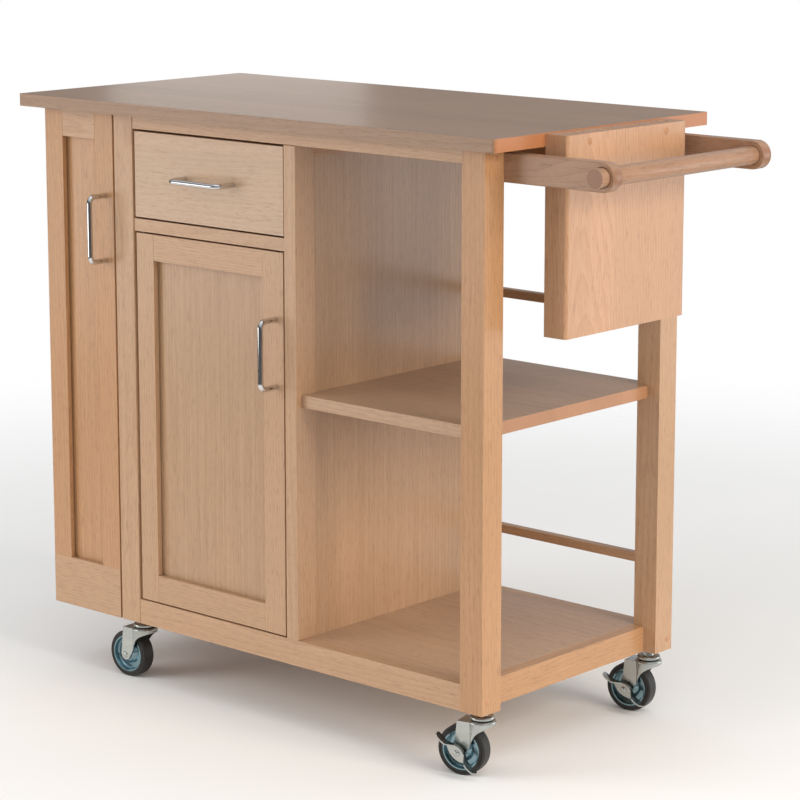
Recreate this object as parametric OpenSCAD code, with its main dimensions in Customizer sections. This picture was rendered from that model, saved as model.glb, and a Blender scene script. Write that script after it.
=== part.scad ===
// Kitchen island cart. A solid worktop stands on four square posts. A tall pull-out rack
// hangs in a bay at the left, a cupboard under a drawer fills the middle, and open shelves
// fill the right. A knife block and a towel bar are on the right end, and each post stands
// on a swivel caster. X runs left to right, Y front to back and Z up.
// Places are counted from the worktop's front left corner on the floor, and placed() moves
// them to the cart's own origin, which is the middle of its bounding box on the floor.

/* [Worktop] */
// Length of the worktop, left to right
top_length = 914; // [890:1:950]
// Depth of the worktop, front to back
top_depth = 460; // [450:1:500]
// Thickness of the worktop
top_thick = 18; // [15:1:25]
// Height of the worktop's upper face above the floor
cart_height = 864; // [850:1:900]
// Radius of the worktop's upright corners
top_corner = 4; // [1:1:10]
// Overhang of the worktop past the rack bay
left_overhang = 34; // [30:1:50]
// Overhang of the worktop past the right posts
right_overhang = 32; // [30:1:50]
// Overhang of the worktop past the posts, front and back
front_overhang = 20; // [15:1:30]

/* [Carcass] */
// Width of the square posts
post = 38.5; // [38:0.5:45]
// Height of the posts' feet, which is the casters' full height
post_foot = 93; // [93:1:110]
// Clear width of the open shelf bay
shelf_bay = 298; // [280:1:300]
// Width of the divider's stiles
stile = 22; // [20:1:30]
// Thickness of the boards and rails
board = 18; // [16:1:20]
// Thickness of the panels
panel = 12; // [10:1:12]
// Height of the slim rails under the worktop
top_rail = 20; // [18:1:24]
// Height of the side rails under the worktop
side_rail = 38; // [30:1:45]
// Height of the bottom rails
bottom_rail = 37; // [30:1:37]
// Clear height of the drawer's opening
drawer_open = 129; // [125:1:150]
// Height of the middle shelf's upper face
shelf_top = 480; // [420:1:540]
// Thickness of the square guard rails
guard = 13; // [10:1:16]
// Heights of the guard rails' upper faces
guard_tops = [231, 586];

/* [Rack] */
// Width of the pull-out rack's front
rack_front_w = 146; // [140:1:160]
// Width of the stiles in the rack's front
rack_stile = 38; // [30:1:40]
// Height of the bottom board in the rack's front
rack_foot = 74; // [60:1:90]
// Heights of the rack's upper trays
rack_tray_z = [330, 540];

/* [Door and drawer] */
// Thickness of the door
door_thick = 19; // [18:0.5:20]
// Width of the stile that holds the door's handle
door_stile = 39.5; // [35:0.5:45]
// Width of the stile on the hinge side
door_hinge_stile = 34.5; // [30:0.5:40]
// Height of the door's top rail
door_rail = 38; // [35:1:45]
// Depth from the door's face to its panel groove
panel_recess = 8; // [5:1:9]
// Thickness of the drawer's front
drawer_thick = 18; // [16:1:20]
// Inside length of the drawer
drawer_inside = 338; // [300:1:340]

/* [Handles] */
// Distance between the legs of a handle
handle_centres = 95; // [90:1:128]
// Diameter of the handles' wire
handle_wire = 8; // [6:1:10]
// Distance from the front to the middle of the handle's bar
handle_reach = 31; // [25:1:31]

/* [Right end] */
// Depth of the knife block, front to back
block_depth = 257; // [240:1:280]
// Height of the knife block
block_height = 265.5; // [220:0.5:280]
// Thickness of the knife block
block_thick = 36.4; // [30:0.1:45]
// Number of knife slots
knife_slots = 4; // [3:1:4]
// Diameter of the towel rod
rod_d = 25; // [20:1:28]
// Distance from the worktop's end to the middle of the towel rod
rod_reach = 126.7; // [120:0.1:140]

/* [Casters] */
// Diameter of the wheels
wheel_d = 70; // [66:1:72]
// Width of the tyres
tyre_w = 21; // [18:1:22]
// Trail of the casters
trail = 26.5; // [24:0.5:28]
// How far the swivel axes stand in from the posts' centres, left and right
caster_inset_x = 1.5; // [0:0.5:3]
// How far the swivel axes stand in from the posts' centres, front and back
caster_inset_y = 6.5; // [0:0.5:8]
// Swivel of each caster at rest: front left, rear left, front right, rear right
caster_turn = [4, 8, 14, 9];
// Tilt of the brake levers at rest: front right, rear right
brake_tilt = [40, 31];

/* [Hidden] */

$fn = 96;
beech = "#d3ae8c";
beech_dark = "#b98f68";
veneer = "#cfa983";
steel = "#b4bcb8";
chrome = "#e4e6e8";
rubber = "#2a2826";
white = "#e8e4dc";

// Heights
under_top = cart_height - top_thick;
top_rail_z = under_top - top_rail;
mid_rail_z = top_rail_z - drawer_open - board;
floor_top = post_foot + bottom_rail;
floor_under = floor_top - board;

// Left to right: both faces of the left posts, the divider and the right posts
bay_x = left_overhang;
rack_gap = 3;
left_x = [bay_x + rack_front_w + rack_gap, bay_x + rack_front_w + rack_gap + post];
right_x = [top_length - right_overhang - post, top_length - right_overhang];
div_x = [right_x[0] - shelf_bay - stile, right_x[0] - shelf_bay];
divider_x = [div_x[0] + 7.5, div_x[0] + 7.5 + panel];

// Front to back: both faces of the front and the rear posts
front_y = [front_overhang, front_overhang + post];
rear_y = [top_depth - front_overhang - post, top_depth - front_overhang];
rail_set = 1;
front_rail_y = [front_y[0] + rail_set, front_y[0] + rail_set + board];
rear_rail_y = [rear_y[1] - 7 - board, rear_y[1] - 7];
door_set = 2;

// Panels in grooves
groove_w = 6.5;
groove_depth = 8;
thin_panel = 5;

// Door and drawer fronts
door_x = [left_x[1] + 4.5, div_x[0] - 4];
door_z = [floor_top + 2, mid_rail_z - 2.5];
door_foot_rail = 40;
door_y = front_y[0] + door_set;
pivot_r = 3;
pivot_gap = 0.05;
pivot_at = [door_x[0] + 8, door_y + 8];
pivot_sink = 16;
pivot_lift = 12;
drawer_x = [left_x[1] + 3, div_x[0] - 2.5];
drawer_z = [mid_rail_z + board + 2.5, top_rail_z - 3];
drawer_wall = 12;
drawer_side_x = [left_x[1] + 13, div_x[0] - 13];
drawer_side_z = [712, 800];
drawer_floor_z = 718;
drawer_back_y = door_y + drawer_thick + drawer_inside;
catch_x = [490, 515];
catch_y = [door_y + door_thick + 1, 56];
catch_height = 13;

// Slides
channel_w = 6.5;
channel_z = [745, 780];
channel_wall = 1.5;
slide_gap = 0.5;
channel_y = [door_y + drawer_thick + 2, rear_y[1] - 32];
runner_end_y = drawer_back_y + drawer_wall + 2;
rack_slide_x = [96, 134];
rack_slide_y = [45, 420];
rack_slide_z = 105;

// Rack
rack_x = [bay_x, bay_x + rack_front_w];
rack_top = under_top - 2.5;
rack_thick = 19;
rack_y = front_y[0];
tray_x = [rack_x[0] + 18, rack_x[1] - 3];
tray_back_y = 388;
tray_thick = 12;
tray_base_z = 112;
rack_back_top = 800;
rack_guard_r = 4;
rack_guard_inset = 6;
rack_guard_lift = 60;
bay_floor_z = post_foot + panel;

// Handles
handle_bend = 9;
drawer_handle_at = [375.7, door_y, 762];
door_handle_at = [505, door_y, 534.6];
rack_handle_at = [163, rack_y, 677];

// Right end
block_x = top_length;
block_y = 103;
block_top = cart_height - 1.5;
block_round = 5;
slot_size = [5, 40, 220];
slot_x = block_x + 17;
slot_y = 141.5;
slot_pitch = 60;
arm_z = 820.5;
arm_r = 19.3;
arm_x = right_x[1] - post + board;
rod_x = top_length + rod_reach;
rod_gap = 0.1;
rod_y = [43.5, 392.5];
rear_bore_end = 393;

// Plugs: a y and a z for each one
plug_r = 5;
plug_fit = 0.02;
plug_depth = 8;
plug_crown = [4.7, 1.1];
front_plugs = [[41.7, 833], [32.5, 110]];
rear_plugs = [[top_depth - 41.7, 833], [top_depth - 30, 110]];
block_plugs = [[149, 852], [314, 852]];

// Shelf pins
pin_r = 2.5;
pin_z = 392.4;
pin_y = [110, 350];
pin_depth = 8;
shelf_y = [64, 400];
shelf_z = 395;
shelf_thick = 15;
shelf_gap = 1;

// Casters
caster_xy = [for (i = [0, 1], j = [0, 1]) [
  [left_x, right_x][i][0] + post / 2 + (1 - 2 * i) * caster_inset_x,
  [front_y, rear_y][j][0] + post / 2 + (1 - 2 * j) * caster_inset_y]];
wheel_r = wheel_d / 2;
kingpin_r = 4;
kingpin_head = [7.5, 3];
pin_clear = 0.05;
race_gap = 0.4;
race_r = 16.8;
race_h = 6;
stem_r = 8;
roof_z = 77;
flange_z = 73.5;
flange_h = 6;
flange_r = 19.3;
bowl_r = 18.6;
sheet = 2.2;
leg_out = tyre_w / 2 + 3.9;
leg_in = leg_out - sheet;
leg_foot = 8.6;
axle_r = 3;
rivet = [4.6, 2.1];
hub_r = 27.2;
tyre_groove = [3.2, 1, 0.8];
boss = [5.5, 7.2];
brake_gap = 0.4;
brake_y = leg_out + boss[1] + brake_gap;
brake_sheet = 2;
braked_pin = brake_y + brake_sheet + brake_gap;
brake_wing = [8.5, 4];
brake_neck = 5.5;
brake_half = 38;
brake_plate_half = 20;

// The whole cart's bounding box on the floor puts the origin in its middle
cart_x1 = rod_x + arm_r;
cart_y0 = rack_y - handle_reach - handle_wire / 2;
module placed() translate([-cart_x1 / 2, -(cart_y0 + top_depth) / 2, 0]) children();

// A board between two opposite corners
module slab(a, b) translate(a) cube(b - a);

// A round bar along X or Y
module bar_x(at, r, length) translate(at) rotate([0, 90, 0]) cylinder(r = r, h = length);
module bar_y(at, r, length) translate(at) rotate([-90, 0, 0]) cylinder(r = r, h = length);

// A rectangle with round corners, from exact circles
module round_rect(size, r) {
  translate([r, 0]) square([size[0] - 2 * r, size[1]]);
  translate([0, r]) square([size[0], size[1] - 2 * r]);
  for (x = [r, size[0] - r], y = [r, size[1] - r]) translate([x, y]) circle(r);
}

// A bent wire handle: its bar runs along X and its legs end on the plane y = 0
module wire_handle() {
  wire = handle_wire / 2;
  half = handle_centres / 2;
  straight = half - handle_bend;
  bar_x([-straight, -handle_reach, 0], wire, 2 * straight);
  for (side = [0, 1]) mirror([side, 0, 0]) {
    bar_y([half, handle_bend - handle_reach, 0], wire, handle_reach - handle_bend);
    translate([straight, handle_bend - handle_reach, 0])
      rotate([0, 0, -90])
        rotate_extrude(angle = 90)
          translate([handle_bend, 0]) circle(wire);
  }
}

// --- Worktop and posts ---
module worktop() {
  color(beech) placed()
    translate([0, 0, under_top])
      linear_extrude(top_thick) round_rect([top_length, top_depth], top_corner);
}

module post_at(x, y) slab([x[0], y[0], post_foot], [x[1], y[1], under_top]);

module plug_holes(x, plugs) {
  for (p = plugs) bar_x([x - plug_depth, p[0], p[1]], plug_r + plug_fit, plug_depth + 1);
}

module front_left_post() { color(beech) placed() post_at(left_x, front_y); }

module rear_left_post() { color(beech) placed() post_at(left_x, rear_y); }

module front_right_post() {
  color(beech) placed() difference() {
    post_at(right_x, front_y);
    plug_holes(right_x[1], front_plugs);
  }
}

module rear_right_post() {
  color(beech) placed() difference() {
    post_at(right_x, rear_y);
    plug_holes(right_x[1], rear_plugs);
  }
}

// --- Rails and divider ---
module top_front_rail() {
  color(beech) placed()
    slab([left_x[1], front_rail_y[0], top_rail_z], [right_x[0], front_rail_y[1], under_top]);
}

module bottom_front_rail() {
  color(beech) placed() difference() {
    slab([left_x[1], front_rail_y[0], post_foot], [right_x[0], front_rail_y[1], floor_top]);
    translate([pivot_at[0], pivot_at[1], floor_top - pivot_lift - 1])
      cylinder(r = pivot_r + pivot_gap, h = pivot_lift + 2);
  }
}

module rear_rails() {
  color(beech) placed() for (z = [[post_foot, floor_top], [top_rail_z, under_top]])
    slab([left_x[1], rear_rail_y[0], z[0]], [right_x[0], rear_rail_y[1], z[1]]);
}

module side_rails() {
  color(beech) placed() {
    z_spans = [[post_foot, floor_top], [under_top - side_rail, under_top]];
    for (x = [left_x[1] - board, right_x[0]], z = z_spans)
      slab([x, front_y[1], z[0]], [x + board, rear_y[0], z[1]]);
    slab([div_x[1] - board, front_y[1], under_top - side_rail], [div_x[1], rear_y[0], under_top]);
  }
}

module mid_rail() {
  color(beech) placed() difference() {
    slab([left_x[1], door_y, mid_rail_z], [div_x[0], front_y[1] + 1.5, mid_rail_z + board]);
    translate([pivot_at[0], pivot_at[1], mid_rail_z - 1])
      cylinder(r = pivot_r + pivot_gap, h = pivot_lift + 2);
  }
}

module divider_stiles() {
  color(beech) placed() for (y = [front_y, rear_y])
    slab([div_x[0], y[0], floor_top], [div_x[1], y[1], top_rail_z]);
}

module pin_holes(x) {
  for (y = pin_y) bar_x([x, y, pin_z], pin_r + pin_clear, pin_depth);
}

module divider_panel() {
  color(veneer) placed() difference() {
    slab([divider_x[0], front_y[1], floor_top], [divider_x[1], rear_y[0], under_top - side_rail]);
    pin_holes(divider_x[0]);
  }
}

module cabinet_side_panel() {
  x = left_x[1] - board;
  color(veneer) placed() difference() {
    slab([x - panel, front_y[1], post_foot], [x, rear_y[0], under_top]);
    pin_holes(x - pin_depth);
  }
}

module cabinet_back_panel() {
  color(veneer) placed()
    slab([left_x[1], rear_rail_y[0] - 6, floor_top], [div_x[0], rear_rail_y[0], under_top]);
}

// --- Shelves ---
module bottom_shelf() {
  color(veneer) placed()
    slab([left_x[1], front_rail_y[1], floor_under], [right_x[0], rear_rail_y[0], floor_top]);
}

module middle_shelf() {
  z = [shelf_top - board, shelf_top];
  color(veneer) placed() {
    slab([div_x[1], front_y[0] + 10.5, z[0]], [right_x[0], rear_y[1] - 15, z[1]]);
    slab([divider_x[1], front_y[1], z[0]], [right_x[0] + board, rear_y[0], z[1]]);
  }
}

module cabinet_shelf() {
  color(veneer) placed()
    slab([left_x[1] - board + shelf_gap, shelf_y[0], shelf_z],
      [divider_x[0] - shelf_gap, shelf_y[1], shelf_z + shelf_thick]);
}

module shelf_pins() {
  reach = 10;
  color(steel) placed() for (y = pin_y) {
    bar_x([left_x[1] - board - pin_depth, y, pin_z], pin_r, pin_depth + reach);
    bar_x([divider_x[0] - reach, y, pin_z], pin_r, pin_depth + reach);
  }
}

module guard_rails() {
  y = rear_y[1] - guard;
  color(beech) placed() for (top = guard_tops)
    slab([div_x[1], y - guard, top - guard], [right_x[0], y, top]);
}

// --- Rack bay ---
module rack_bay() {
  y = [rack_y + rack_thick + 2, rear_y[1]];
  color(veneer) placed() {
    slab([bay_x, y[0], post_foot], [bay_x + panel, y[1], under_top]);
    slab([bay_x + panel, y[1] - panel, post_foot], [left_x[0], y[1], under_top]);
    slab([bay_x + panel, y[0], post_foot], [left_x[0], y[1] - panel, bay_floor_z]);
  }
}

// --- Right end ---
module knife_block() {
  bottom = block_top - block_height;
  color(beech) placed() difference() {
    translate([block_x, block_y, bottom]) linear_extrude(block_height) {
      square([block_thick - block_round, block_depth]);
      translate([block_thick - 2 * block_round, 0]) round_rect([2 * block_round, block_depth], block_round);
    }
    for (i = [0 : knife_slots - 1])
      translate([slot_x, slot_y + i * slot_pitch, block_top - slot_size[2]])
        translate([-slot_size[0] / 2, -slot_size[1] / 2, 0]) cube(slot_size + [0, 0, 1]);
    plug_holes(block_x + block_thick, block_plugs);
  }
}

module towel_arm(y, bore) {
  difference() {
    translate([0, y + board, arm_z]) rotate([90, 0, 0]) linear_extrude(board) {
      translate([arm_x, -arm_r]) square([rod_x - arm_x, 2 * arm_r]);
      translate([rod_x, 0]) circle(arm_r);
    }
    bar_y([rod_x, bore[0], arm_z], rod_d / 2 + rod_gap, bore[1] - bore[0]);
  }
}

module front_towel_arm() {
  color(beech_dark) placed() towel_arm(front_y[1], [front_y[1] - 1, front_y[1] + board + 1]);
}

module rear_towel_arm() {
  color(beech_dark) placed() towel_arm(rear_y[0] - board, [rear_y[0] - board - 1, rear_bore_end]);
}

// A low dome on the plane z = 0, from its radius and height
module dome(size) {
  ball = (size[0] * size[0] + size[1] * size[1]) / (2 * size[1]);
  rotate_extrude() intersection() {
    translate([0, size[1] - ball]) circle(ball);
    square(size);
  }
}

// A plug whose face is crowned, with its shoulder on the plane X = x
module plug(x, p) {
  bar_x([x - plug_depth, p[0], p[1]], plug_r, plug_depth);
  translate([x, p[0], p[1]]) rotate([0, 90, 0]) dome(plug_crown);
}

module wood_plugs() {
  color(beech_dark) placed() {
    for (p = concat(front_plugs, rear_plugs)) plug(right_x[1], p);
    for (p = block_plugs) plug(block_x + block_thick, p);
  }
}

// --- Slides and catch ---
// The inside of a drawer channel faces +X
module drawer_channel(x) {
  difference() {
    slab([x, channel_y[0], channel_z[0]], [x + channel_w, channel_y[1], channel_z[1]]);
    slab([x + channel_wall, channel_y[0] - 1, channel_z[0] + channel_wall],
      [x + channel_w + 1, channel_y[1] + 1, channel_z[1] - channel_wall]);
  }
}

module slide_channels() {
  x = rack_slide_x;
  y = rack_slide_y;
  z = rack_slide_z;
  color(steel) placed() {
    drawer_channel(left_x[1]);
    translate([left_x[1] + div_x[0], 0, 0]) mirror([1, 0, 0]) drawer_channel(left_x[1]);
    difference() {
      slab([x[0], y[0], z], [x[1], y[1], z + channel_w]);
      slab([x[0] + channel_wall, y[0] - 1, z + channel_wall],
        [x[1] - channel_wall, y[1] + 1, z + channel_w + 1]);
    }
  }
}

module drawer_slide_runners() {
  x = left_x[1] + channel_wall + slide_gap;
  z = [channel_z[0] + channel_wall + slide_gap, channel_z[1] - channel_wall - slide_gap];
  color(steel) placed() for (side = [0, 1])
    translate([side * (left_x[1] + div_x[0]), 0, 0]) mirror([side, 0, 0])
      slab([x, channel_y[0], z[0]], [drawer_side_x[0], runner_end_y, z[1]]);
}

module rack_slide_runner() {
  inset = channel_wall + slide_gap;
  color(steel) placed()
    slab([rack_slide_x[0] + inset, rack_slide_y[0], rack_slide_z + inset],
      [rack_slide_x[1] - inset, tray_back_y, tray_base_z]);
}

module door_catch() {
  color(white) placed()
    slab([catch_x[0], catch_y[0], mid_rail_z - catch_height], [catch_x[1], catch_y[1], mid_rail_z]);
}

// --- Drawer ---
module drawer_front() {
  color(beech) placed()
    slab([drawer_x[0], door_y, drawer_z[0]], [drawer_x[1], door_y + drawer_thick, drawer_z[1]]);
}

module drawer_box() {
  y = [door_y + drawer_thick, drawer_back_y];
  z = drawer_side_z;
  color(veneer) placed() {
    for (x = [drawer_side_x[0], drawer_side_x[1] - drawer_wall])
      slab([x, y[0], z[0]], [x + drawer_wall, y[1] + drawer_wall, z[1]]);
    slab([drawer_side_x[0], y[1], z[0]], [drawer_side_x[1], y[1] + drawer_wall, z[1]]);
  }
}

module drawer_bottom() {
  color(veneer) placed()
    slab([drawer_side_x[0] + drawer_wall, door_y + drawer_thick, drawer_floor_z],
      [drawer_side_x[1] - drawer_wall, drawer_back_y, drawer_floor_z + thin_panel]);
}

module drawer_handle() { color(chrome) placed() translate(drawer_handle_at) wire_handle(); }

// --- Door ---
// The groove for the panel, cut round an opening
module panel_groove(x, y, z) {
  slab([x[0] - groove_depth, y, z[0] - groove_depth],
    [x[1] + groove_depth, y + groove_w, z[1] + groove_depth]);
}

module thin_panel_at(x, y, z) {
  slab([x[0] - groove_depth, y + groove_w - thin_panel, z[0] - groove_depth],
    [x[1] + groove_depth, y + groove_w, z[1] + groove_depth]);
}

door_panel_x = [door_x[0] + door_hinge_stile, door_x[1] - door_stile];
door_panel_z = [door_z[0] + door_foot_rail, door_z[1] - door_rail];
door_groove_y = door_y + panel_recess;

module door_stiles() {
  color(beech) placed() difference() {
    for (x = [[door_x[0], door_panel_x[0]], [door_panel_x[1], door_x[1]]])
      slab([x[0], door_y, door_z[0]], [x[1], door_y + door_thick, door_z[1]]);
    panel_groove(door_panel_x, door_groove_y, door_panel_z);
    for (z = [door_z[0] - 1, door_z[1] - pivot_sink])
      translate([pivot_at[0], pivot_at[1], z]) cylinder(r = pivot_r + plug_fit, h = pivot_sink + 1);
  }
}

module door_rails() {
  color(beech) placed() difference() {
    for (z = [[door_z[0], door_panel_z[0]], [door_panel_z[1], door_z[1]]])
      slab([door_panel_x[0], door_y, z[0]], [door_panel_x[1], door_y + door_thick, z[1]]);
    panel_groove(door_panel_x, door_groove_y, door_panel_z);
  }
}

module door_panel() { color(veneer) placed() thin_panel_at(door_panel_x, door_groove_y, door_panel_z); }

module door_handle() { color(chrome) placed() translate(door_handle_at) rotate([0, 90, 0]) wire_handle(); }

module door_pivots() {
  length = [pivot_sink + 2 + pivot_lift, pivot_sink + 2.5 + pivot_lift];
  color(steel) placed() {
    translate([pivot_at[0], pivot_at[1], door_z[0] + pivot_sink - length[0]])
      cylinder(r = pivot_r, h = length[0]);
    translate([pivot_at[0], pivot_at[1], door_z[1] - pivot_sink]) cylinder(r = pivot_r, h = length[1]);
  }
}

// --- Pull-out rack ---
rack_panel_x = [rack_x[0] + rack_stile, rack_x[1] - rack_stile];
rack_panel_z = [post_foot + rack_foot, rack_top - 38.5];
rack_groove_y = rack_y + panel_recess;

module rack_stiles() {
  color(beech) placed() difference() {
    for (x = [[rack_x[0], rack_panel_x[0]], [rack_panel_x[1], rack_x[1]]])
      slab([x[0], rack_y, rack_panel_z[0]], [x[1], rack_y + rack_thick, rack_top]);
    panel_groove(rack_panel_x, rack_groove_y, rack_panel_z);
  }
}

module rack_front_rails() {
  color(beech) placed() difference() {
    union() {
      slab([rack_x[0], rack_y, post_foot], [rack_x[1], rack_y + rack_thick, rack_panel_z[0]]);
      slab([rack_panel_x[0], rack_y, rack_panel_z[1]], [rack_panel_x[1], rack_y + rack_thick, rack_top]);
    }
    panel_groove(rack_panel_x, rack_groove_y, rack_panel_z);
  }
}

module rack_front_panel() {
  color(veneer) placed() thin_panel_at(rack_panel_x, rack_groove_y, rack_panel_z);
}

module rack_handle() { color(chrome) placed() translate(rack_handle_at) rotate([0, 90, 0]) wire_handle(); }

module rack_trays() {
  color(veneer) placed() for (z = concat([tray_base_z], rack_tray_z))
    slab([tray_x[0], rack_y + rack_thick, z], [tray_x[1], tray_back_y, z + tray_thick]);
}

module rack_back() {
  color(veneer) placed()
    slab([tray_x[0], tray_back_y, tray_base_z], [tray_x[1], tray_back_y + panel, rack_back_top]);
}

module rack_guards() {
  y = rack_y + rack_thick;
  sides = [tray_x[0] + rack_guard_inset, tray_x[1] - rack_guard_inset];
  color(beech_dark) placed() for (z = concat([tray_base_z], rack_tray_z), x = sides)
    bar_y([x, y, z + tray_thick + rack_guard_lift], rack_guard_r, tray_back_y - y);
}

// --- Towel rod ---
module towel_rod() { color(beech) placed() bar_y([rod_x, rod_y[0], arm_z], rod_d / 2, rod_y[1] - rod_y[0]); }

// --- Casters: each is drawn with its swivel axis on the origin and its trail towards -X ---
module caster(i) {
  placed() translate([caster_xy[i][0], caster_xy[i][1], 0]) rotate([0, 0, caster_turn[i]]) children();
}

// A disc with a half-round rim, standing on the plane z = 0
module rimmed_disc(r, h) {
  rotate_extrude() {
    square([r - h / 2, h]);
    intersection() {
      translate([r - h / 2, h / 2]) circle(h / 2);
      square([r, h]);
    }
  }
}

module race() {
  race_z = flange_z + flange_h + race_gap;
  head_z = roof_z - sheet - race_gap - kingpin_head[1];
  translate([0, 0, race_z]) rimmed_disc(race_r, race_h);
  translate([0, 0, race_z + race_h - 1]) cylinder(r = stem_r, h = post_foot - race_z - race_h + 1);
  translate([0, 0, head_z]) cylinder(r = kingpin_head[0], h = kingpin_head[1]);
  translate([0, 0, head_z + 1]) cylinder(r = kingpin_r, h = race_z - head_z);
}

module caster_races() { color(steel) for (i = [0 : 3]) caster(i) race(); }

// The fork's pressed sheet from above: straight legs that run into a round bowl
module fork_plan(inset) {
  side = leg_out - inset;
  translate([-2 * wheel_r, -side]) square([2 * wheel_r, 2 * side]);
  circle(bowl_r - inset);
}

// The fork from the side: the legs taper to the axle, and the bowl's edge sweeps up to the front
module fork_side() {
  polygon([[-31, roof_z], [-trail - leg_foot, wheel_r + 1], [-19.5, 30], [-12.5, 42], [-8.3, 52],
    [-3, 60], [2, 65], [8, 68.5], [15, 71.5], [22, flange_z], [22, roof_z]]);
  translate([-trail, wheel_r]) circle(leg_foot);
}

module fork(i, pin_end) {
  color(steel) caster(i) {
    difference() {
      union() {
        translate([0, 0, flange_z]) rimmed_disc(flange_r, flange_h);
        intersection() {
          linear_extrude(roof_z) fork_plan(0);
          translate([0, bowl_r, 0]) rotate([90, 0, 0]) linear_extrude(2 * bowl_r) fork_side();
        }
      }
      translate([0, 0, -1]) linear_extrude(roof_z - sheet + 1) fork_plan(sheet);
      translate([0, 0, flange_z - 1]) cylinder(r = kingpin_r + pin_clear, h = flange_h + 2);
    }
    bar_y([-trail, -pin_end, wheel_r], axle_r, pin_end + leg_out);
    if (pin_end > leg_out) bar_y([-trail, -leg_out - boss[1], wheel_r], boss[0], boss[1]);
    translate([-trail, -pin_end, wheel_r]) rotate([90, 0, 0]) dome(rivet);
    translate([-trail, leg_out, wheel_r]) rotate([-90, 0, 0]) dome(rivet);
  }
}

// Half of the hub's section, from the axle's boss across the dish to the rim, as radius and side
hub_half = [[axle_r + pin_clear, 11.2], [6, 11.2], [9, 10.4], [12, 8.6], [14.5, 6], [16.5, 3.6], [22.5, 3],
  [24.4, 5], [25.4, 11], [hub_r, 11]];

module hub(i) {
  other_half = [for (k = [len(hub_half) - 1 : -1 : 0]) [hub_half[k][0], -hub_half[k][1]]];
  color(steel) caster(i) translate([-trail, 0, wheel_r]) rotate([90, 0, 0])
    rotate_extrude() polygon(concat(hub_half, other_half));
}

module tyre(i) {
  tread = wheel_r - hub_r;
  color(rubber) caster(i) translate([-trail, 0, wheel_r]) rotate([90, 0, 0]) rotate_extrude()
    difference() {
      translate([hub_r, -tyre_w / 2]) {
        round_rect([tread, tyre_w], 3);
        square([3, tyre_w]);
      }
      for (side = [0, 1]) mirror([0, side]) translate([hub_r + tyre_groove[0], tyre_w / 2 - tyre_groove[2]])
        square([tyre_groove[1], 1]);
    }
}

// The lever's upper edge: a hump over the axle, then a pedal at each end that turns up a little
function brake_rise(x) = 9 * exp(-pow(x / 17, 2)) - 1 + 3.8 * pow(x / brake_half, 4);

// The lever's plate hangs under that edge, deepest at the axle
function brake_drop(x) = 8.5 * pow(x / brake_plate_half, 2) - 8.5;

// The lever's top flange from above: wide pedals that stand out from the plate, and between them
// a narrow neck inside it that clears the fork
module brake_flange_plan() {
  out = brake_wing[0];
  in = brake_wing[1];
  end = (out + in) / 2;
  for (side = [0, 1]) mirror([side, 0]) {
    translate([brake_half - end, in - end]) circle(end);
    polygon([[-1, 0], [-1, brake_neck], [11, brake_neck], [17, in], [brake_half - end, in],
      [brake_half - end, -out], [19, -out], [10, 0]]);
  }
}

// A rocker on the axle, with a pedal at each end to press with a toe
module brake(i) {
  step = 2;
  edge = [for (x = [-brake_half : step : brake_half]) [x, brake_rise(x)]];
  under = [for (x = [brake_half : -step : -brake_half]) [x, brake_rise(x) - brake_sheet]];
  top = [for (x = [-brake_plate_half : 4 : brake_plate_half]) [x, brake_rise(x) - 1]];
  bottom = [for (x = [brake_plate_half - 4 : -4 : 4 - brake_plate_half]) [x, brake_drop(x)]];
  color(steel) caster(i)
    translate([-trail, -brake_y - brake_sheet, wheel_r]) rotate([0, brake_tilt[i - 2], 0]) difference() {
      union() {
        translate([0, brake_sheet, 0]) rotate([90, 0, 0]) linear_extrude(brake_sheet)
          polygon(concat(top, bottom));
        intersection() {
          translate([0, brake_neck, 0]) rotate([90, 0, 0]) linear_extrude(brake_neck + brake_wing[0])
            polygon(concat(edge, under));
          translate([0, 0, -brake_half]) linear_extrude(2 * brake_half) brake_flange_plan();
        }
      }
      bar_y([0, -1, 0], axle_r + pin_clear, brake_neck + 2);
    }
}

module front_left_fork() { fork(0, leg_out); }
module front_left_hub() { hub(0); }
module front_left_tyre() { tyre(0); }
module rear_left_fork() { fork(1, leg_out); }
module rear_left_hub() { hub(1); }
module rear_left_tyre() { tyre(1); }
module front_right_fork() { fork(2, braked_pin); }
module front_right_hub() { hub(2); }
module front_right_tyre() { tyre(2); }
module front_right_brake() { brake(2); }
module rear_right_fork() { fork(3, braked_pin); }
module rear_right_hub() { hub(3); }
module rear_right_tyre() { tyre(3); }
module rear_right_brake() { brake(3); }

worktop();
front_left_post();
rear_left_post();
front_right_post();
rear_right_post();
top_front_rail();
bottom_front_rail();
rear_rails();
side_rails();
mid_rail();
divider_stiles();
divider_panel();
cabinet_side_panel();
cabinet_back_panel();
bottom_shelf();
middle_shelf();
cabinet_shelf();
shelf_pins();
guard_rails();
rack_bay();
knife_block();
front_towel_arm();
rear_towel_arm();
wood_plugs();
slide_channels();
door_catch();
caster_races();
drawer_front();
drawer_box();
drawer_bottom();
drawer_handle();
drawer_slide_runners();
door_stiles();
door_rails();
door_panel();
door_handle();
door_pivots();
rack_stiles();
rack_front_rails();
rack_front_panel();
rack_handle();
rack_trays();
rack_back();
rack_guards();
rack_slide_runner();
towel_rod();
front_left_fork();
front_left_hub();
front_left_tyre();
rear_left_fork();
rear_left_hub();
rear_left_tyre();
front_right_fork();
front_right_hub();
front_right_tyre();
front_right_brake();
rear_right_fork();
rear_right_hub();
rear_right_tyre();
rear_right_brake();
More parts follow.
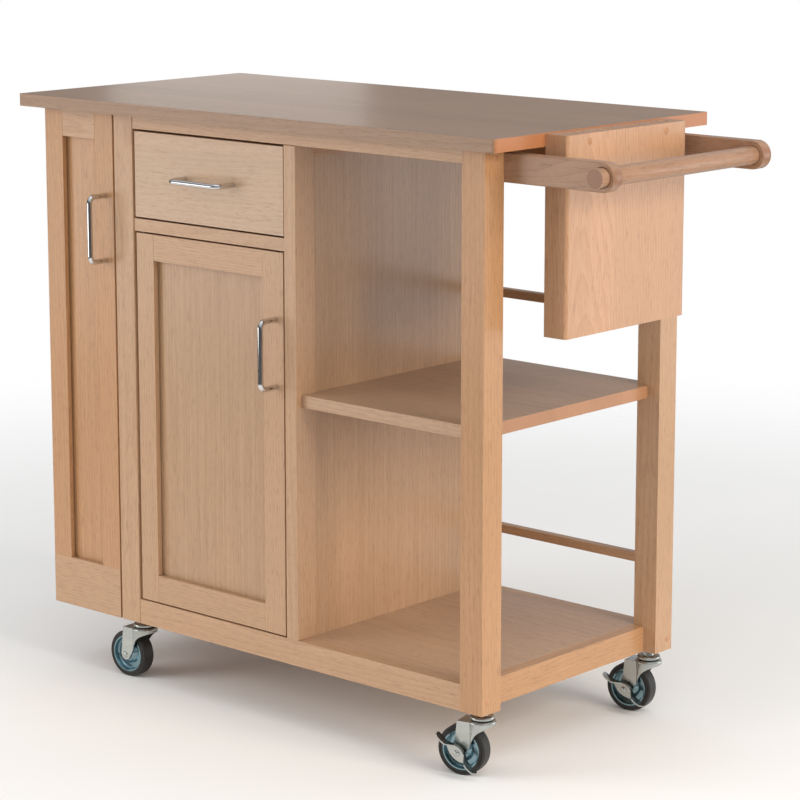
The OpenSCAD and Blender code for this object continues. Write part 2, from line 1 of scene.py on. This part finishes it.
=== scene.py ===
"""The kitchen island cart's looks: procedural wood, plated steel and rubber, and fine hardware."""
import math
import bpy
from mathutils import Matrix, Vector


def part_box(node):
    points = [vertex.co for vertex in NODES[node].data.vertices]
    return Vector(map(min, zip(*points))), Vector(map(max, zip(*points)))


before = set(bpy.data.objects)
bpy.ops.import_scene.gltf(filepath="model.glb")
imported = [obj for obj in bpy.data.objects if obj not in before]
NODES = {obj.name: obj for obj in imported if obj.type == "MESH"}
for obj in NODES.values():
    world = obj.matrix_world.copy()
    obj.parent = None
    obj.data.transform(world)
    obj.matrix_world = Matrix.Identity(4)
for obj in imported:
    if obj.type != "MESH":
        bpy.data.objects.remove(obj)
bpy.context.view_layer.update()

from zlib import crc32

import bmesh
import bpy
from mathutils import Vector

MM = 0.001


# --- Node graph helpers ---

class Graph:
    """A material's node tree, with short calls for the nodes that the materials share."""

    def __init__(self, name):
        self.material = bpy.data.materials.new(name)
        self.material.use_nodes = True
        self.tree = self.material.node_tree
        self.shader = self.tree.nodes["Principled BSDF"]
        self.place = self.add("ShaderNodeTexCoord").outputs["Object"]

    def add(self, kind, **settings):
        node = self.tree.nodes.new(kind)
        for key, value in settings.items():
            setattr(node, key, value)
        return node

    def plug(self, value, socket):
        if isinstance(value, bpy.types.NodeSocket):
            self.tree.links.new(value, socket)
        else:
            socket.default_value = value

    def math(self, operation, *values):
        node = self.add("ShaderNodeMath", operation=operation)
        for value, socket in zip(values, node.inputs):
            self.plug(value, socket)
        return node.outputs[0]

    def vector(self, operation, *values):
        node = self.add("ShaderNodeVectorMath", operation=operation)
        for value, socket in zip(values, node.inputs):
            self.plug(value, socket)
        return node.outputs["Value" if operation == "LENGTH" else "Vector"]

    def noise(self, vector, scale, detail=2.0, roughness=0.5):
        node = self.add("ShaderNodeTexNoise")
        self.plug(vector, node.inputs["Vector"])
        node.inputs["Scale"].default_value = scale
        node.inputs["Detail"].default_value = detail
        node.inputs["Roughness"].default_value = roughness
        return node.outputs["Fac"]

    def ramp(self, fac, stops):
        node = self.add("ShaderNodeValToRGB")
        points = node.color_ramp.elements
        while len(points) < len(stops):
            points.new(0.5)
        for point, (at, value) in zip(points, stops):
            point.position = at
            point.color = (value, value, value, 1) if isinstance(value, float) else (*value, 1)
        self.plug(fac, node.inputs["Fac"])
        return node.outputs["Color"]

    def mix(self, fac, first, second, blend="MIX"):
        node = self.add("ShaderNodeMix", data_type="RGBA", blend_type=blend)
        sockets = (node.inputs[0], node.inputs[6], node.inputs[7])
        for value, socket in zip((fac, first, second), sockets):
            self.plug((*value, 1) if isinstance(value, tuple) else value, socket)
        return node.outputs[2]

    def fit(self, value, low, high):
        """Stretches 0 to 1 onto `low` to `high`."""
        node = self.add("ShaderNodeMapRange")
        self.plug(value, node.inputs["Value"])
        node.inputs["To Min"].default_value = low
        node.inputs["To Max"].default_value = high
        return node.outputs["Result"]

    def bump(self, height, depth):
        node = self.add("ShaderNodeBump")
        node.inputs["Distance"].default_value = depth
        node.inputs["Strength"].default_value = 1.0
        self.plug(height, node.inputs["Height"])
        self.plug(node.outputs["Normal"], self.shader.inputs["Normal"])

    def set(self, **values):
        for key, value in values.items():
            self.plug(value, self.shader.inputs[key.replace("_", " ")])


def linear(red, green, blue):
    """An 8-bit sRGB colour as linear light."""
    def one(c):
        c /= 255
        return c / 12.92 if c <= 0.04045 else ((c + 0.055) / 1.055) ** 2.4
    return (one(red), one(green), one(blue))


# --- Wood ---

TONES = {
    # light early wood, darker late wood, pore, end grain
    "beech": (linear(190, 156, 124), linear(164, 125, 92), linear(124, 86, 60),
              linear(168, 118, 82)),
    "warm": (linear(190, 148, 108), linear(162, 116, 78), linear(120, 80, 52),
             linear(168, 112, 72)),
    "pale": (linear(194, 167, 141), linear(172, 140, 112), linear(138, 102, 78),
             linear(168, 118, 82)),
    "top": (linear(162, 132, 107), linear(136, 105, 81), linear(96, 70, 52),
            linear(176, 112, 68)),
    "veneer": (linear(184, 151, 119), linear(158, 122, 89), linear(128, 93, 65),
               linear(150, 104, 70)),
    "shelf": (linear(188, 156, 128), linear(162, 128, 99), linear(124, 92, 67),
              linear(168, 118, 82)),
    "arm": (linear(172, 136, 110), linear(146, 110, 84), linear(92, 62, 45),
            linear(138, 98, 74)),
    "block": (linear(196, 156, 124), linear(172, 128, 94), linear(130, 90, 62),
              linear(178, 128, 90)),
}
# Which of an object's axes run across, over and along the grain
SHIFTS = {"X": (1, 2, 0), "Y": (0, 2, 1), "Z": (0, 1, 2)}

# Where the first glue line falls, as a part of a stave, and how far figure and tone jump at each
STAVE_START = 0.37
STAVE_SPREAD = (3.0, 3.0, 3.0)
STAVE_JUMP = 0.05
# How far the growth rings wander, in metres: slow and broad, then quick and fine
RING_WANDER = 0.030
RING_RIPPLE = 0.0030
# Darkness across one ring, and across the streaks of a veneer
RING_TONES = [(0.0, 0.10), (0.45, 0.22), (0.80, 0.62), (0.93, 1.0), (1.0, 0.10)]
VENEER_TONES = [(0.34, 0.0), (0.5, 0.5), (0.66, 1.0)]
# Which part of each noise shows as a pore or a ray fleck, and how strongly
PORE_STOPS, PORE_SHARE = [(0.60, 0.0), (0.72, 1.0)], 0.40
FLECK_STOPS, FLECK_SHARE = [(0.57, 0.0), (0.70, 1.0)], 0.32
# Broad patches turn from yellowish to rosy
PATCH_TINTS = [(0.35, (1.0, 0.99, 0.965)), (0.65, (1.0, 0.965, 0.945))]
# End grain shows where a face looks along the grain
END_STOPS = [(0.75, 0.0), (0.95, 0.8)]
# Depth of the fibre relief in metres, and the thin oil coat
WOOD_RELIEF = 0.00005
COAT, WORN_COAT, COAT_ROUGHNESS = 0.25, 0.08, 0.22


def own_place(seed):
    """A place in the noise for each piece, so that no two boards show the same figure."""
    return Vector(((seed % 97) / 9.7, (seed // 97 % 89) / 8.9, (seed // 8633 % 83) / 8.3))


def drawn_noise(g, grid, stretch, scale, detail, roughness):
    """Noise that is drawn out along the grain."""
    return g.noise(g.vector("MULTIPLY", grid, (1, 1, stretch)), scale, detail, roughness)


def ring_bands(g, grid, side, over, along, ring, tilt):
    """Darkness of the growth rings round a pith that leans by `tilt`."""
    warp = g.math("SUBTRACT", drawn_noise(g, grid, 0.13, 10, 3.0, 0.5), 0.5)
    fine_warp = g.math("SUBTRACT", drawn_noise(g, grid, 0.13, 70, 2.0, 0.5), 0.5)
    side = g.math("MULTIPLY_ADD", along, tilt, side)
    squares = g.math("ADD", g.math("MULTIPLY", side, side), g.math("MULTIPLY", over, over))
    radius = g.math("SQRT", squares)
    radius = g.math("ADD", radius, g.math("MULTIPLY", warp, RING_WANDER))
    radius = g.math("ADD", radius, g.math("MULTIPLY", fine_warp, RING_RIPPLE))
    turns = g.math("FRACT", g.math("MULTIPLY", radius, 1 / (ring * MM)))
    return g.ramp(turns, RING_TONES)


def wood(name, grain, tone, figure, ring, pith, tilt, stave, gloss):
    """Solid wood, or veneer if `ring` is 0. Growth rings circle a tilted pith, fibres and pores run
    along the grain, and boards that are glued up change figure and tone from stave to stave."""
    g = Graph(name)
    light, dark, pore, end = TONES[tone]
    seed = crc32(name.encode())
    split = g.add("ShaderNodeSeparateXYZ")
    g.plug(g.place, split.inputs[0])
    across, over, along = (split.outputs[i] for i in SHIFTS[grain])
    join = g.add("ShaderNodeCombineXYZ")
    for value, socket in zip((across, over, along), join.inputs):
        g.plug(value, socket)
    grid = g.vector("ADD", join.outputs[0], own_place(seed))
    lo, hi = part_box(name)
    middle = (lo + hi) / 2
    centre = [middle[i] for i in SHIFTS[grain]]
    size = [(hi - lo)[i] for i in SHIFTS[grain]]
    side = g.math("SUBTRACT", across, centre[0] + pith[0])
    if stave:
        wide = across if size[0] > size[1] else over
        slot = g.math("FLOOR", g.math("MULTIPLY_ADD", wide, 1 / (stave * MM), STAVE_START))
        pick = g.add("ShaderNodeTexWhiteNoise", noise_dimensions="1D")
        g.plug(g.math("ADD", slot, float(seed % 31)), pick.inputs["W"])
        jump = g.fit(pick.outputs["Value"], -STAVE_JUMP, STAVE_JUMP)
        grid = g.vector("MULTIPLY_ADD", pick.outputs["Color"], STAVE_SPREAD, grid)
        side = g.math("ADD", side, jump)

    fibre = drawn_noise(g, grid, 0.012, 900, 3.0, 0.65)
    if ring:
        streak = drawn_noise(g, grid, 0.022, 260, 3.0, 0.6)
        streak_share = 0.45
        above = g.math("SUBTRACT", over, centre[1] + pith[1])
        bands = ring_bands(g, grid, side, above, along, ring, tilt)
    else:
        streak = drawn_noise(g, grid, 0.008, 480, 3.0, 0.6)
        streak_share = 0.25
        bands = g.ramp(streak, VENEER_TONES)
    patch = drawn_noise(g, grid, 0.3, 7, 2.0, 0.5)
    pore_mask = g.ramp(drawn_noise(g, grid, 0.05, 1500, 1.0, 0.4), PORE_STOPS)
    fleck_mask = g.ramp(drawn_noise(g, grid, 0.10, 420, 2.0, 0.55), FLECK_STOPS)

    colour = g.mix(g.math("MULTIPLY", bands, figure), light, dark)
    colour = g.mix(g.fit(streak, 0.0, streak_share), colour, dark)
    shade = g.math("ADD", g.fit(fibre, 0.91, 1.07), g.fit(patch, -0.09, 0.09))
    if stave:
        shade = g.math("ADD", shade, jump)
    colour = g.mix(1.0, colour, shade, "MULTIPLY")
    colour = g.mix(1.0, colour, g.ramp(patch, PATCH_TINTS), "MULTIPLY")
    colour = g.mix(g.math("MULTIPLY", fleck_mask, FLECK_SHARE), colour, pore)
    colour = g.mix(g.math("MULTIPLY", pore_mask, PORE_SHARE), colour, pore)
    facing = g.add("ShaderNodeSeparateXYZ")
    g.plug(g.add("ShaderNodeTexCoord").outputs["Normal"], facing.inputs[0])
    cut = g.math("ABSOLUTE", facing.outputs[grain])
    colour = g.mix(g.ramp(cut, END_STOPS), colour, g.mix(1.0, end, shade, "MULTIPLY"))
    g.set(Base_Color=colour)
    g.set(Roughness=g.fit(fibre, gloss - 0.05, gloss + 0.10))
    g.set(Coat_Weight=WORN_COAT if tone == "top" else COAT, Coat_Roughness=COAT_ROUGHNESS)
    raised = g.math("MULTIPLY", fibre, 0.6)
    g.bump(g.math("SUBTRACT", raised, g.math("MULTIPLY", pore_mask, 0.5)), WOOD_RELIEF)
    return g.material


# --- Metal, rubber and plastic ---

def chrome(name):
    """Bright plated wire with a faint haze."""
    g = Graph(name)
    haze = g.noise(g.place, 240, 3.0, 0.6)
    g.set(Base_Color=g.mix(haze, (0.66, 0.67, 0.68), (0.74, 0.75, 0.76)), Metallic=1.0)
    g.set(Roughness=g.fit(haze, 0.06, 0.11))
    g.bump(haze, 0.000005)
    return g.material


def zinc(name, low, high, rough):
    """Plated sheet steel: a softly clouded tone, with fine drawing lines."""
    g = Graph(name)
    cloud = g.noise(g.place, 60, 3.0, 0.5)
    lines = g.noise(g.vector("MULTIPLY", g.place, (1, 1, 0.05)), 900, 2.0, 0.5)
    g.set(Base_Color=g.mix(cloud, low, high), Metallic=1.0)
    clouded = g.fit(cloud, rough - 0.04, rough + 0.06)
    g.set(Roughness=g.math("ADD", clouded, g.fit(lines, -0.03, 0.03)))
    g.bump(lines, 0.000004)
    return g.material


def rubber(name):
    """Dark moulded rubber, dusty in patches."""
    g = Graph(name)
    dust = g.noise(g.place, 90, 4.0, 0.6)
    grit = g.noise(g.place, 1800, 2.0, 0.5)
    g.set(Base_Color=g.mix(dust, linear(24, 23, 22), linear(44, 42, 40)))
    g.set(Roughness=g.fit(dust, 0.38, 0.55))
    g.bump(grit, 0.00008)
    return g.material


def plastic(name, colour):
    """Moulded plastic with a fine spark-eroded grain."""
    g = Graph(name)
    grain = g.noise(g.place, 1200, 2.0, 0.5)
    tint = g.noise(g.place, 40, 2.0, 0.5)
    g.set(Base_Color=g.mix(g.fit(tint, 0.0, 0.3), colour, tuple(c * 0.86 for c in colour)))
    g.set(Roughness=g.fit(grain, 0.42, 0.52))
    g.bump(grain, 0.00004)
    return g.material


# --- Dressing the CAD nodes ---

# Points closer than this are one point before an edge is eased
WELD_REACH = 0.01 * MM
# A bevel wider than this needs whole flat faces, because long thin triangles would fold over in it
WIDE_BEVEL = 1
# Faces that lean less than the first angle are one flat face, and more than the second, an edge
FLAT_ANGLE = math.radians(0.5)
EDGE_ANGLE = math.radians(50)


def finish_node(name, material, bevel=0.0, segments=2):
    """Gives a CAD node its material, and eases its edges by `bevel` mm. Its mesh is unchanged."""
    piece = NODES[name]
    if piece.material_slots:
        for held in piece.material_slots:
            held.material = material
    else:
        piece.data.materials.append(material)
    if bevel:
        weld = piece.modifiers.new("weld", "WELD")
        weld.merge_threshold = WELD_REACH
        if bevel > WIDE_BEVEL:
            flat = piece.modifiers.new("flat", "DECIMATE")
            flat.decimate_type = "DISSOLVE"
            flat.angle_limit = FLAT_ANGLE
        ease = piece.modifiers.new("ease", "BEVEL")
        ease.width = bevel * MM
        ease.segments = segments
        ease.limit_method = "ANGLE"
        ease.angle_limit = EDGE_ANGLE
        ease.harden_normals = True


WOOD_NODES = {
    # node: (grain, tone, figure, ring mm or 0 for veneer, pith, tilt, stave mm, gloss)
    "worktop": ("X", "top", 0.55, 6.0, (0.0, -0.25), 0.02, 64, 0.33),
    "front_left_post": ("Z", "beech", 0.45, 5.0, (0.03, -0.10), 0.02, 0, 0.38),
    "rear_left_post": ("Z", "beech", 0.45, 5.0, (0.05, 0.09), 0.02, 0, 0.38),
    "front_right_post": ("Z", "warm", 0.45, 4.5, (-0.04, -0.12), 0.015, 0, 0.38),
    "rear_right_post": ("Z", "beech", 0.45, 4.5, (-0.05, -0.10), -0.02, 0, 0.38),
    "top_front_rail": ("X", "beech", 0.5, 4.5, (-0.07, -0.05), 0.02, 0, 0.38),
    "bottom_front_rail": ("X", "beech", 0.5, 5.0, (-0.08, 0.04), 0.02, 0, 0.38),
    "rear_rails": ("X", "beech", 0.5, 5.0, (0.08, 0.04), 0.02, 0, 0.38),
    "side_rails": ("Y", "warm", 0.45, 5.0, (0.12, 0.03), 0.04, 0, 0.38),
    "mid_rail": ("X", "beech", 0.4, 5.0, (-0.10, 0.03), 0.02, 0, 0.38),
    "divider_stiles": ("Z", "beech", 0.45, 5.0, (0.05, -0.12), 0.02, 0, 0.38),
    "guard_rails": ("X", "beech", 0.5, 4.5, (0.06, 0.05), 0.02, 0, 0.38),
    "drawer_front": ("X", "pale", 0.35, 6.0, (-0.11, 0.10), 0.04, 41, 0.38),
    "door_stiles": ("Z", "beech", 0.45, 5.0, (0.3, -0.08), 0.03, 0, 0.38),
    "door_rails": ("X", "beech", 0.55, 4.5, (-0.05, 0.03), 0.08, 0, 0.38),
    "rack_stiles": ("Z", "warm", 0.5, 5.0, (0.02, -0.06), 0.04, 0, 0.38),
    "rack_front_rails": ("X", "beech", 0.5, 4.5, (-0.06, 0.35), 0.03, 0, 0.38),
    "knife_block": ("Z", "block", 0.55, 4.5, (-0.045, -0.085), 0.07, 52, 0.38),
    "front_towel_arm": ("X", "arm", 0.55, 4.0, (-0.04, 0.02), 0.05, 0, 0.38),
    "rear_towel_arm": ("X", "arm", 0.55, 4.0, (-0.05, 0.02), 0.05, 0, 0.38),
    "towel_rod": ("Y", "arm", 0.5, 4.5, (0.04, 0.02), 0.03, 0, 0.38),
    "wood_plugs": ("X", "block", 0.7, 3.0, (0.01, 0.02), 0.0, 0, 0.38),
    "rack_guards": ("Y", "beech", 0.5, 4.0, (0.03, 0.02), 0.0, 0, 0.38),
    "divider_panel": ("Z", "veneer", 0.55, 0, (0.0, 0.0), 0.0, 0, 0.33),
    "cabinet_side_panel": ("Z", "veneer", 0.55, 0, (0.0, 0.0), 0.0, 0, 0.33),
    "cabinet_back_panel": ("Z", "veneer", 0.55, 0, (0.0, 0.0), 0.0, 0, 0.33),
    "door_panel": ("Z", "veneer", 0.55, 0, (0.0, 0.0), 0.0, 0, 0.33),
    "rack_front_panel": ("Z", "warm", 0.5, 0, (0.0, 0.0), 0.0, 0, 0.33),
    "rack_bay": ("Z", "veneer", 0.55, 0, (0.0, 0.0), 0.0, 0, 0.33),
    "rack_back": ("Z", "veneer", 0.55, 0, (0.0, 0.0), 0.0, 0, 0.33),
    "bottom_shelf": ("X", "shelf", 0.5, 6.0, (0.0, 0.25), 0.03, 75, 0.36),
    "middle_shelf": ("X", "shelf", 0.5, 6.0, (0.0, 0.25), 0.03, 75, 0.36),
    "cabinet_shelf": ("X", "shelf", 0.5, 6.0, (0.0, 0.25), 0.03, 75, 0.36),
    "rack_trays": ("Y", "veneer", 0.5, 6.0, (0.0, 0.25), 0.03, 0, 0.38),
    "drawer_box": ("Y", "veneer", 0.5, 6.0, (0.0, 0.12), 0.02, 0, 0.38),
    "drawer_bottom": ("X", "veneer", 0.5, 0, (0.0, 0.0), 0.0, 0, 0.38),
}
# Eased edges in mm: those of solid boards, those of veneered panels, and the nodes that differ
BOARD_EDGE, PANEL_EDGE = 0.9, 0.4
EDGES = {"front_towel_arm": 2.0, "rear_towel_arm": 2.0, "knife_block": 1.5, "wood_plugs": 0.3}

for node, look in WOOD_NODES.items():
    is_panel = look[3] == 0
    edge = EDGES.get(node, PANEL_EDGE if is_panel else BOARD_EDGE)
    finish_node(node, wood(node, *look), edge, 3)

CHROME = chrome("chrome_wire")
ZINC = zinc("bright_zinc", linear(176, 180, 177), linear(204, 207, 203), 0.24)
HUB_ZINC = zinc("blue_zinc", linear(112, 140, 150), linear(152, 178, 186), 0.22)
RUBBER = rubber("tyre_rubber")
WHITE = plastic("catch_plastic", linear(226, 222, 212))

for node in ("drawer_handle", "door_handle", "rack_handle"):
    finish_node(node, CHROME)
for node in ("caster_races", "slide_channels", "drawer_slide_runners", "rack_slide_runner",
             "door_pivots", "shelf_pins"):
    finish_node(node, ZINC, 0.3)
finish_node("door_catch", WHITE, 0.8, 3)
for corner in ("front_left", "rear_left", "front_right", "rear_right"):
    finish_node(corner + "_fork", ZINC, 0.6)
    finish_node(corner + "_hub", HUB_ZINC)
    finish_node(corner + "_tyre", RUBBER)
    if "right" in corner:
        finish_node(corner + "_brake", ZINC, 0.7)


# --- Floor, light and camera ---

FLOOR_HALF = 60
# Distances from the middle where the floor starts to fade into the backdrop, and where it has gone
FLOOR_FADE = (0.9, 2.6)
# The dome that lights the scene: its strength, and its colour by height from 0 to 1
DOME_STRENGTH = 0.62
DOME_STOPS = ((0.05, (0.16, 0.15, 0.15, 1)), (0.45, (0.95, 0.97, 1.0, 1)))
# How much further up the dark part reaches at the front, and at the left
DOME_LEAN_BACK, DOME_LEAN_RIGHT = 0.20, 0.15
SOFT_BOXES = (
    # name, place, target, size, watts, colour, seen by glossy surfaces
    ("key", (3.4, -0.1, 1.6), (0.1, 0, 0.45), (1.4, 1.8), 82, (1.0, 0.91, 0.80), False),
    ("front", (-1.9, -2.5, 1.4), (-0.3, 0, 0.5), (1.6, 1.8), 40, (1.0, 0.98, 0.95), False),
    ("sheen", (-2.0, -2.3, 0.42), (-0.3, 0, 0.6), (1.8, 0.8), 14, (1.0, 0.99, 0.97), True),
    ("fill", (2.2, -2.8, 1.2), (0.0, 0, 0.6), (1.6, 1.4), 24, (1.0, 0.96, 0.92), False),
    ("card", (2.3, 2.5, 0.45), (0.0, 0, 0.6), (1.5, 1.2), 14, (1.0, 1.0, 1.0), True),
    ("rear card", (-1.25, 0.95, 1.05), (-0.3, 0, 0.86), (0.5, 0.35), 0.5, (1.0, 0.97, 0.93), True),
)
SUN_ORIGIN, SUN_STRENGTH, SUN_SPREAD = (0.25, -0.15, 1.0), 0.42, 60
CAMERA_PLACE = (2.6299, -2.9088, 1.2561)
# Angles in degrees: below level, and round from the front
CAMERA_DOWN, CAMERA_ROUND = 10.424, 41.84
CAMERA_LENS, CAMERA_SHIFT = 125.5, -0.08


def place_in_scene(name, data):
    holder = bpy.data.objects.new(name, data)
    bpy.context.scene.collection.objects.link(holder)
    return holder


def floor():
    """A pale matt floor that fades away round the cart, so it has no edge."""
    mesh = bpy.data.meshes.new("floor")
    form = bmesh.new()
    bmesh.ops.create_grid(form, x_segments=1, y_segments=1, size=FLOOR_HALF)
    form.to_mesh(mesh)
    form.free()
    ground = place_in_scene("floor", mesh)
    g = Graph("pale_floor")
    tone = g.noise(g.place, 3, 2.0, 0.5)
    g.set(Base_Color=g.mix(tone, linear(238, 238, 237), linear(242, 242, 241)))
    g.set(Roughness=0.8, Specular_IOR_Level=0.2)
    reach = g.add("ShaderNodeMapRange", interpolation_type="SMOOTHSTEP")
    g.plug(g.vector("LENGTH", g.place), reach.inputs["Value"])
    reach.inputs["From Min"].default_value, reach.inputs["From Max"].default_value = FLOOR_FADE
    fade = g.add("ShaderNodeMixShader")
    g.plug(reach.outputs["Result"], fade.inputs[0])
    g.plug(g.shader.outputs[0], fade.inputs[1])
    g.plug(g.add("ShaderNodeBsdfTransparent").outputs[0], fade.inputs[2])
    g.plug(fade.outputs[0], g.tree.nodes["Material Output"].inputs["Surface"])
    mesh.materials.append(g.material)


def soft_box(name, place, target, size, power, colour, in_gloss):
    """An area light. Most are hidden from glossy surfaces, so the worktop is even all round."""
    lamp = bpy.data.lights.new(name, "AREA")
    lamp.shape = "RECTANGLE"
    lamp.size, lamp.size_y = size
    lamp.energy = power
    lamp.color = colour
    holder = place_in_scene(name, lamp)
    holder.visible_glossy = in_gloss
    holder.location = place
    way = Vector(target) - Vector(place)
    holder.rotation_euler = way.to_track_quat("-Z", "Y").to_euler()


def soft_sun():
    lamp = bpy.data.lights.new("top", "SUN")
    lamp.energy = SUN_STRENGTH
    lamp.angle = math.radians(SUN_SPREAD)
    holder = place_in_scene("top", lamp)
    holder.rotation_euler = Vector(SUN_ORIGIN).to_track_quat("Z", "Y").to_euler()


def studio():
    """A white backdrop, and a bright dome that is darker low down at the front and left, so plated
    metal has something dark to reflect."""
    world = bpy.data.worlds.new("studio")
    bpy.context.scene.world = world
    world.use_nodes = True
    tree = world.node_tree
    add, link = tree.nodes.new, tree.links.new
    way = add("ShaderNodeTexCoord")
    split = add("ShaderNodeSeparateXYZ")
    ramp = add("ShaderNodeValToRGB")
    for stop, (at, colour) in zip(ramp.color_ramp.elements, DOME_STOPS):
        stop.position = at
        stop.color = colour
    pale = add("ShaderNodeBackground")
    pale.inputs["Color"].default_value = (1.0, 1.0, 1.0, 1)
    dome = add("ShaderNodeBackground")
    dome.inputs["Strength"].default_value = DOME_STRENGTH
    path = add("ShaderNodeLightPath")
    mix = add("ShaderNodeMixShader")
    back, right = add("ShaderNodeMath"), add("ShaderNodeMath")
    for lean, amount in ((back, DOME_LEAN_BACK), (right, DOME_LEAN_RIGHT)):
        lean.operation = "MULTIPLY_ADD"
        lean.inputs[1].default_value = amount
    link(way.outputs["Generated"], split.inputs[0])
    link(split.outputs["Y"], back.inputs[0])
    link(split.outputs["Z"], back.inputs[2])
    link(split.outputs["X"], right.inputs[0])
    link(back.outputs[0], right.inputs[2])
    link(right.outputs[0], ramp.inputs["Fac"])
    link(ramp.outputs["Color"], dome.inputs["Color"])
    link(path.outputs["Is Camera Ray"], mix.inputs["Fac"])
    link(dome.outputs[0], mix.inputs[1])
    link(pale.outputs[0], mix.inputs[2])
    link(mix.outputs[0], tree.nodes["World Output"].inputs["Surface"])


def camera():
    lens = bpy.data.cameras.new("camera")
    lens.lens = CAMERA_LENS
    lens.shift_y = CAMERA_SHIFT
    lens.clip_end = 200
    holder = place_in_scene("camera", lens)
    holder.location = CAMERA_PLACE
    holder.rotation_euler = (math.radians(90 - CAMERA_DOWN), 0, math.radians(CAMERA_ROUND))
    bpy.context.scene.camera = holder


floor()
studio()
for box in SOFT_BOXES:
    soft_box(*box)
soft_sun()
camera()
bpy.context.scene.view_settings.view_transform = "Standard"
